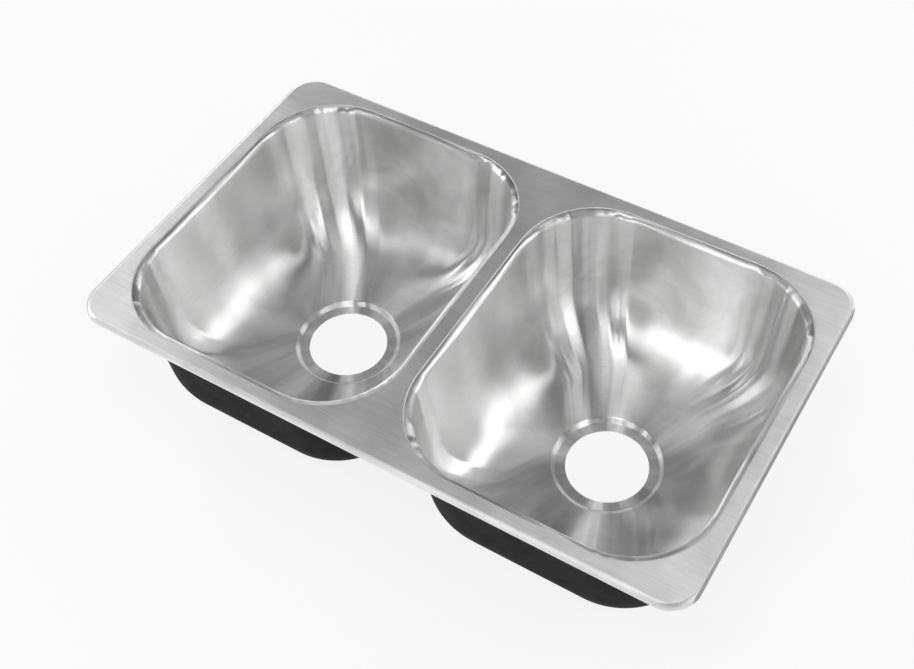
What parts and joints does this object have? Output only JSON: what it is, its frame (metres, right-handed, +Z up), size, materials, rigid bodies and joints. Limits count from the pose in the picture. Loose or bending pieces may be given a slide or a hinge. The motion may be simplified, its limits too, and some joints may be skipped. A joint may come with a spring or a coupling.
{
  "type": "double bowl kitchen sink",
  "caption": "Rectangular drop-in steel sink with two deep bowls, stepped drain holes, black undercoat and screw clips that clamp it to a worktop.",
  "frame": {"origin": "under the middle of the sink, level with the underside of its drain seats, on which it stands", "axes": "+X along the sink, to the right seen from the front; +Y to the back; +Z up"},
  "size_m": [0.686, 0.406, 0.178],
  "materials": {
    "deck_steel": "satin brushed stainless steel",
    "bowl_steel": "satin stainless steel, polished along the walls and round the drain",
    "black_undercoat": "matte black sprayed sound-deadening coat, fine grain",
    "rail_steel": "dull stamped steel",
    "zinc_plate": "bright zinc plate"
  },
  "bodies": {
    "sink": {"deck": "deck_steel", "left_bowl": "bowl_steel", "left_undercoat": "black_undercoat", "right_bowl": "bowl_steel", "right_undercoat": "black_undercoat", "clip_rail_front_left": "rail_steel", "clip_rail_front_middle": "rail_steel", "clip_rail_front_right": "rail_steel", "clip_rail_back_left": "rail_steel", "clip_rail_back_middle": "rail_steel", "clip_rail_back_right": "rail_steel"},
    "bolt_front_left": {"clip_bolt_front_left": "zinc_plate"},
    "washer_front_left": {"clip_washer_front_left": "zinc_plate"},
    "claw_front_left": {"clip_claw_front_left": "zinc_plate"},
    "wing_nut_front_left": {"clip_wing_nut_front_left": "zinc_plate"},
    "bolt_front_middle": {"clip_bolt_front_middle": "zinc_plate"},
    "washer_front_middle": {"clip_washer_front_middle": "zinc_plate"},
    "claw_front_middle": {"clip_claw_front_middle": "zinc_plate"},
    "wing_nut_front_middle": {"clip_wing_nut_front_middle": "zinc_plate"},
    "bolt_front_right": {"clip_bolt_front_right": "zinc_plate"},
    "washer_front_right": {"clip_washer_front_right": "zinc_plate"},
    "claw_front_right": {"clip_claw_front_right": "zinc_plate"},
    "wing_nut_front_right": {"clip_wing_nut_front_right": "zinc_plate"},
    "bolt_back_left": {"clip_bolt_back_left": "zinc_plate"},
    "washer_back_left": {"clip_washer_back_left": "zinc_plate"},
    "claw_back_left": {"clip_claw_back_left": "zinc_plate"},
    "wing_nut_back_left": {"clip_wing_nut_back_left": "zinc_plate"},
    "bolt_back_middle": {"clip_bolt_back_middle": "zinc_plate"},
    "washer_back_middle": {"clip_washer_back_middle": "zinc_plate"},
    "claw_back_middle": {"clip_claw_back_middle": "zinc_plate"},
    "wing_nut_back_middle": {"clip_wing_nut_back_middle": "zinc_plate"},
    "bolt_back_right": {"clip_bolt_back_right": "zinc_plate"},
    "washer_back_right": {"clip_washer_back_right": "zinc_plate"},
    "claw_back_right": {"clip_claw_back_right": "zinc_plate"},
    "wing_nut_back_right": {"clip_wing_nut_back_right": "zinc_plate"}
  },
  "joints": [
    {"name": "bolt_slide_front_left", "type": "slide", "parent": "sink", "child": "bolt_front_left", "axis": [0.7071, -0.7071, 0], "range_m": [-0.006, 0.006]},
    {"name": "clamp_lift_front_left", "type": "slide", "parent": "bolt_front_left", "child": "washer_front_left", "axis": [0, 0, 1], "range_m": [0, 0.0127]},
    {"name": "claw_swivel_front_left", "type": "hinge", "parent": "washer_front_left", "child": "claw_front_left", "pos_m": [-0.31528, -0.17678, 0.151], "axis": [0, 0, -1], "range_deg": [0, 180]},
    {"name": "wing_nut_turn_front_left", "type": "hinge", "parent": "washer_front_left", "child": "wing_nut_front_left", "pos_m": [-0.31528, -0.17678, 0.151], "axis": [0, 0, 1], "range_deg": [0, 3600]},
    {"name": "bolt_slide_front_middle", "type": "slide", "parent": "sink", "child": "bolt_front_middle", "axis": [1, 0, 0], "range_m": [-0.012, 0.012]},
    {"name": "clamp_lift_front_middle", "type": "slide", "parent": "bolt_front_middle", "child": "washer_front_middle", "axis": [0, 0, 1], "range_m": [0, 0.0127]},
    {"name": "claw_swivel_front_middle", "type": "hinge", "parent": "washer_front_middle", "child": "claw_front_middle", "pos_m": [0, -0.176, 0.151], "axis": [0, 0, 1], "range_deg": [0, 180]},
    {"name": "wing_nut_turn_front_middle", "type": "hinge", "parent": "washer_front_middle", "child": "wing_nut_front_middle", "pos_m": [0, -0.176, 0.151], "axis": [0, 0, 1], "range_deg": [0, 3600]},
    {"name": "bolt_slide_front_right", "type": "slide", "parent": "sink", "child": "bolt_front_right", "axis": [0.7071, 0.7071, 0], "range_m": [-0.006, 0.006]},
    {"name": "clamp_lift_front_right", "type": "slide", "parent": "bolt_front_right", "child": "washer_front_right", "axis": [0, 0, 1], "range_m": [0, 0.0127]},
    {"name": "claw_swivel_front_right", "type": "hinge", "parent": "washer_front_right", "child": "claw_front_right", "pos_m": [0.31528, -0.17678, 0.151], "axis": [0, 0, 1], "range_deg": [0, 180]},
    {"name": "wing_nut_turn_front_right", "type": "hinge", "parent": "washer_front_right", "child": "wing_nut_front_right", "pos_m": [0.31528, -0.17678, 0.151], "axis": [0, 0, 1], "range_deg": [0, 3600]},
    {"name": "bolt_slide_back_left", "type": "slide", "parent": "sink", "child": "bolt_back_left", "axis": [0.7071, 0.7071, 0], "range_m": [-0.006, 0.006]},
    {"name": "clamp_lift_back_left", "type": "slide", "parent": "bolt_back_left", "child": "washer_back_left", "axis": [0, 0, 1], "range_m": [0, 0.0127]},
    {"name": "claw_swivel_back_left", "type": "hinge", "parent": "washer_back_left", "child": "claw_back_left", "pos_m": [-0.31528, 0.17678, 0.151], "axis": [0, 0, 1], "range_deg": [0, 180]},
    {"name": "wing_nut_turn_back_left", "type": "hinge", "parent": "washer_back_left", "child": "wing_nut_back_left", "pos_m": [-0.31528, 0.17678, 0.151], "axis": [0, 0, 1], "range_deg": [0, 3600]},
    {"name": "bolt_slide_back_middle", "type": "slide", "parent": "sink", "child": "bolt_back_middle", "axis": [1, 0, 0], "range_m": [-0.012, 0.012]},
    {"name": "clamp_lift_back_middle", "type": "slide", "parent": "bolt_back_middle", "child": "washer_back_middle", "axis": [0, 0, 1], "range_m": [0, 0.0127]},
    {"name": "claw_swivel_back_middle", "type": "hinge", "parent": "washer_back_middle", "child": "claw_back_middle", "pos_m": [0, 0.176, 0.151], "axis": [0, 0, -1], "range_deg": [0, 180]},
    {"name": "wing_nut_turn_back_middle", "type": "hinge", "parent": "washer_back_middle", "child": "wing_nut_back_middle", "pos_m": [0, 0.176, 0.151], "axis": [0, 0, 1], "range_deg": [0, 3600]},
    {"name": "bolt_slide_back_right", "type": "slide", "parent": "sink", "child": "bolt_back_right", "axis": [0.7071, -0.7071, 0], "range_m": [-0.006, 0.006]},
    {"name": "clamp_lift_back_right", "type": "slide", "parent": "bolt_back_right", "child": "washer_back_right", "axis": [0, 0, 1], "range_m": [0, 0.0127]},
    {"name": "claw_swivel_back_right", "type": "hinge", "parent": "washer_back_right", "child": "claw_back_right", "pos_m": [0.31528, 0.17678, 0.151], "axis": [0, 0, -1], "range_deg": [0, 180]},
    {"name": "wing_nut_turn_back_right", "type": "hinge", "parent": "washer_back_right", "child": "wing_nut_back_right", "pos_m": [0.31528, 0.17678, 0.151], "axis": [0, 0, 1], "range_deg": [0, 3600]}
  ],
  "couplings": [
    {"joint": "wing_nut_turn_front_left", "follows": "clamp_lift_front_left", "rad_per_m": 4947.3},
    {"joint": "wing_nut_turn_front_middle", "follows": "clamp_lift_front_middle", "rad_per_m": 4947.3},
    {"joint": "wing_nut_turn_front_right", "follows": "clamp_lift_front_right", "rad_per_m": 4947.3},
    {"joint": "wing_nut_turn_back_left", "follows": "clamp_lift_back_left", "rad_per_m": 4947.3},
    {"joint": "wing_nut_turn_back_middle", "follows": "clamp_lift_back_middle", "rad_per_m": 4947.3},
    {"joint": "wing_nut_turn_back_right", "follows": "clamp_lift_back_right", "rad_per_m": 4947.3}
  ]
}
